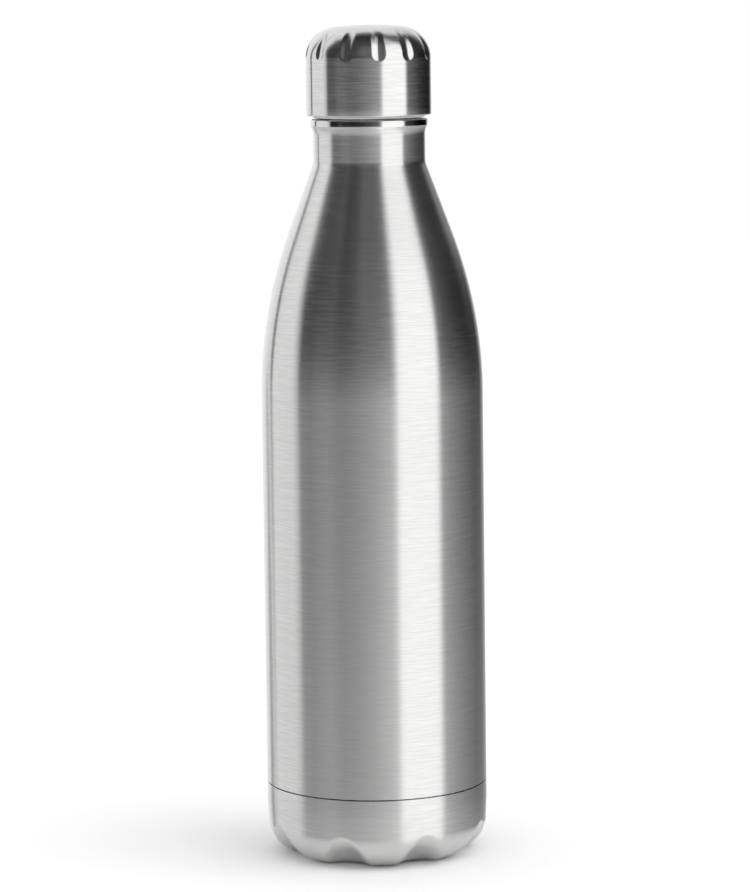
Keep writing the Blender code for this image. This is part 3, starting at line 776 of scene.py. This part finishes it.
def make_stopper(plastic):
    """The threaded plug: its outline runs round the bore, the flange and the threaded wall."""
    edge = STOPPER_EDGE
    flange_z = FLANGE_TOP - FLANGE_THICKNESS
    flange_r = FLANGE_RADIUS - edge
    thread = thread_rows(STOPPER_RADIUS, STOPPER_THREAD_BOTTOM, STOPPER_THREAD_TURNS)
    outline = [(STOPPER_BORE, FLANGE_TOP)]
    outline += arc(flange_r, FLANGE_TOP - edge, edge, 90.0, 0.0, EDGE_ROWS)
    outline += arc(flange_r, flange_z + edge, edge, 0.0, -90.0, EDGE_ROWS)
    outline += arc(STOPPER_RADIUS + edge, flange_z - edge, edge, 90.0, 180.0, EDGE_ROWS)
    outline += thread[::-1]
    outline += arc(STOPPER_RADIUS - edge, STOPPER_BOTTOM + edge, edge, 0.0, -90.0, EDGE_ROWS)
    outline += [(STOPPER_BORE, STOPPER_BOTTOM)]

    def threaded(row, angle):
        r, z = row
        if abs(r - STOPPER_RADIUS) > SAME:
            return row
        return r + thread_height(angle, z, STOPPER_THREAD_BOTTOM, STOPPER_THREAD_TURNS), z

    mesh = ring_mesh("stopper_plug", outline, INNER_SEGMENTS, threaded, closed=True)
    mesh.set_sharp_from_angle(angle=MOULDED_SHARP_ANGLE)
    make_piece("stopper_plug", mesh, plastic, "stopper", "cap")


def make_stopper_end(plastic):
    """The disc that closes the plug's lower end."""
    top = END_DISC_TOP_EDGE
    bottom = END_DISC_BOTTOM_EDGE
    outline = [(0.0, DISC_TOP)]
    outline += arc(END_DISC_RADIUS - top, DISC_TOP - top, top, 90.0, 0.0, END_DISC_TOP_ROWS)
    bottom_r = END_DISC_RADIUS - bottom
    outline += arc(bottom_r, DISC_BOTTOM + bottom, bottom, 0.0, -90.0, END_DISC_BOTTOM_ROWS)
    outline += [(0.0, DISC_BOTTOM)]
    mesh = ring_mesh("stopper_end", outline, INNER_SEGMENTS, as_drawn)
    mesh.set_sharp_from_angle(angle=MOULDED_SHARP_ANGLE)
    make_piece("stopper_end", mesh, plastic, "stopper_end_disc", "cap")


def finish_hidden_nodes():
    """Give the parts inside the walls, which keep their CAD meshes, materials of their own."""
    finishes = {
        "liner_bottom": pressed_steel("pressed_bottom"),
        "vacuum_plate": pressed_steel("pressed_plate"),
        "getter_holder": pressed_steel("pressed_holder"),
        "copper_foil": crumpled_copper("crumpled_copper"),
        "vacuum_seal": dark_glass("solder_glass"),
        "getter": sintered_alloy("getter_pellet"),
        "base_glue_ring": moulded_plastic(
            "set_glue", (0.66, 0.65, 0.60), (0.78, 0.77, 0.73), roughness=0.60
        ),
        "stopper_foam": cellular_foam("rigid_foam"),
    }
    for name, material in finishes.items():
        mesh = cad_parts[name].data
        mesh.materials.clear()
        mesh.materials.append(material)


# ---------------------------------------------------------------- studio

# Brightness of the studio seen in the steel, by degrees round from the camera towards the right:
# a band that lies level with the bottle, two bands below it and two above
LEVEL_BAND = [
    (-180, 1.05), (-140, 1.05), (-134, 0.95), (-131, 0.08), (-128, 0.12), (-125, 1.00),
    (-92, 1.00), (-86, 0.80), (-80, 0.02), (-66, 0.01), (-58, 0.07), (-50, 0.02),
    (-42, 0.03), (-30, 0.01), (-14, 0.02), (0, 0.06), (10, 0.10), (19, 0.16), (24, 0.60),
    (27, 1.40), (30, 1.45), (70, 1.45), (74, 0.60), (77, 0.06), (92, 0.03),
    (110, 0.00), (148, 0.00), (158, 0.30), (168, 0.80), (180, 1.05),
]
LOW_BAND = [
    (-180, 0.98), (-156, 0.95), (-149, 0.80), (-145, 0.15), (-140, 0.15), (-136, 0.95),
    (-128, 1.05), (-93, 1.00), (-86, 0.86), (-79, 0.54), (-68, 0.50), (-58, 0.60),
    (-48, 0.72), (-36, 0.55), (-24, 0.63), (-12, 0.77), (0, 0.95), (12, 1.20),
    (20, 1.28), (25, 1.34), (30, 1.42), (69, 1.42), (78, 0.80), (90, 0.56), (108, 0.32),
    (130, 0.14), (148, 0.17), (163, 0.45), (180, 1.00),
]
DEEP_BAND = [
    (-180, 0.72), (-96, 0.70), (-84, 0.62), (-20, 0.62), (0, 0.72), (22, 0.92),
    (30, 1.35), (70, 1.35), (78, 0.84), (100, 0.62), (135, 0.52), (180, 0.72),
]
HIGH_BAND = [
    (-180, 1.08), (-140, 1.08), (-134, 1.00), (-131, 0.10), (-128, 0.12), (-124, 1.02),
    (-101, 1.08), (-94, 0.98), (-86, 0.04), (-60, 0.05), (-47, 0.09), (-36, 0.05),
    (-23, 0.08), (-11, 0.17), (8, 0.17), (21, 0.25), (29, 1.05), (33, 1.45),
    (72, 1.45), (78, 0.35), (88, 0.08), (106, 0.04), (128, 0.03), (138, 0.20),
    (150, 0.80), (180, 1.08),
]
TOP_BAND = [
    (-180, 1.10), (-120, 1.05), (-100, 0.90), (-88, 0.06), (20, 0.06), (30, 0.65),
    (66, 0.65), (78, 0.08), (115, 0.08), (130, 0.90), (180, 1.10),
]


def ramp(tree, turn, stops):
    """A ring of brightness from stops of (degrees, brightness)."""
    node = add_node(tree, "ShaderNodeValToRGB", {0: turn})
    elements = node.color_ramp.elements
    while len(elements) > 1:
        elements.remove(elements[-1])
    for i, (degrees, brightness) in enumerate(stops):
        position = degrees / 360.0 + 0.5
        element = elements[0] if i == 0 else elements.new(position)
        element.position = position
        shade = brightness / SOFTBOX_PEAK
        element.color = (shade, shade, shade, 1.0)
    return node.outputs["Color"]


def background(tree, colour, strength):
    """Light that comes from all round."""
    inputs = {"Color": colour, "Strength": strength}
    return add_node(tree, "ShaderNodeBackground", inputs).outputs[0]


def painted_studio(tree):
    """The softboxes and dark gaps that the steel shows: five bands, one above the other."""
    direction = add_node(tree, "ShaderNodeTexCoord").outputs["Generated"]
    parts = add_node(tree, "ShaderNodeSeparateXYZ", {0: direction})
    towards_front = calculate(tree, "MULTIPLY", parts.outputs["Y"], -1.0)
    azimuth = calculate(tree, "ARCTAN2", parts.outputs["X"], towards_front)
    turn = calculate(tree, "ADD", calculate(tree, "MULTIPLY", azimuth, 1.0 / math.tau), 0.5)
    rise = parts.outputs["Z"]

    shade = ramp(tree, turn, DEEP_BAND)
    bands = [
        (DEEP_TO_LOW, LOW_BAND),
        (LOW_TO_LEVEL, LEVEL_BAND),
        (LEVEL_TO_HIGH, HIGH_BAND),
        (HIGH_TO_TOP, TOP_BAND),
    ]
    for (start, end), band in bands:
        share = map_range(tree, rise, start, end)
        shade = blend(tree, share, shade, ramp(tree, turn, band))

    overhead = SOFTBOX_PEAK * OVERHEAD_SHARE
    strength = map_range(tree, rise, *TOP_TO_OVERHEAD, SOFTBOX_PEAK, overhead)
    return background(tree, shade, strength)


def make_world():
    """The painted studio for what the steel shows, inside a plain white dome for the rest."""
    world = bpy.data.worlds.new("studio")
    bpy.context.scene.world = world
    world.use_nodes = True
    tree = world.node_tree
    tree.nodes.clear()
    white = (1.0, 1.0, 1.0, 1.0)
    dome = background(tree, white, DOME_LIGHT)
    backdrop = background(tree, white, 1.0)
    path = add_node(tree, "ShaderNodeLightPath").outputs
    inputs = {0: path["Is Glossy Ray"], 1: dome, 2: painted_studio(tree)}
    lit = add_node(tree, "ShaderNodeMixShader", inputs).outputs[0]
    inputs = {0: path["Is Camera Ray"], 1: lit, 2: backdrop}
    seen = add_node(tree, "ShaderNodeMixShader", inputs).outputs[0]
    add_node(tree, "ShaderNodeOutputWorld", {"Surface": seen})


def make_floor():
    """A white table under the bottle, and the wide floor round it that the steel doesn't show."""
    material = white_laminate("white_table")
    outlines = {
        "table": [(0.0, 0.0), (TABLE_RADIUS, 0.0)],
        "floor": [(TABLE_RADIUS, 0.0), (FLOOR_RADIUS, 0.0)],
    }
    for name, outline in outlines.items():
        mesh = ring_mesh(name, outline, FLOOR_SEGMENTS, as_drawn)
        mesh.materials.append(material)
        piece = bpy.data.objects.new(name, mesh)
        bpy.context.scene.collection.objects.link(piece)
        piece.visible_glossy = name == "table"


def make_key_light():
    """A broad light high on the right, for the soft shadow on the left of the bottle."""
    light = bpy.data.lights.new("key", "SUN")
    light.energy = KEY_STRENGTH
    light.angle = KEY_SPREAD
    key = bpy.data.objects.new("key", light)
    bpy.context.scene.collection.objects.link(key)
    level = math.cos(KEY_ELEVATION)
    x = math.sin(KEY_AZIMUTH) * level
    y = -math.cos(KEY_AZIMUTH) * level
    away = Vector((x, y, math.sin(KEY_ELEVATION)))
    key.rotation_mode = "QUATERNION"
    key.rotation_quaternion = away.to_track_quat("Z", "Y")
    key.visible_glossy = False


def make_camera():
    """A long lens a little above the cap, tipped down towards the barrel."""
    camera = bpy.data.cameras.new("camera")
    camera.lens = CAMERA_LENS
    camera.sensor_width = CAMERA_SENSOR
    holder = bpy.data.objects.new("camera", camera)
    bpy.context.scene.collection.objects.link(holder)
    turn = Matrix.Rotation(math.radians(-CAMERA_YAW), 4, "Z")
    tip = Matrix.Rotation(math.radians(90.0 - CAMERA_PITCH), 4, "X")
    roll = Matrix.Rotation(math.radians(CAMERA_ROLL), 4, "Z")
    holder.matrix_world = Matrix.Translation(CAMERA_PLACE) @ turn @ tip @ roll
    bpy.context.scene.camera = holder


make_outer_shell()
make_inner_liner()
make_base_cup()
make_cap_shell()
white = moulded_plastic("white_plastic", (0.76, 0.76, 0.74), (0.83, 0.83, 0.81))
make_cap_liner(white)
make_stopper(white)
make_stopper_end(white)
make_mouth_gasket()
finish_hidden_nodes()
make_world()
make_floor()
make_key_light()
make_camera()
bpy.context.scene.view_settings.view_transform = "Standard"
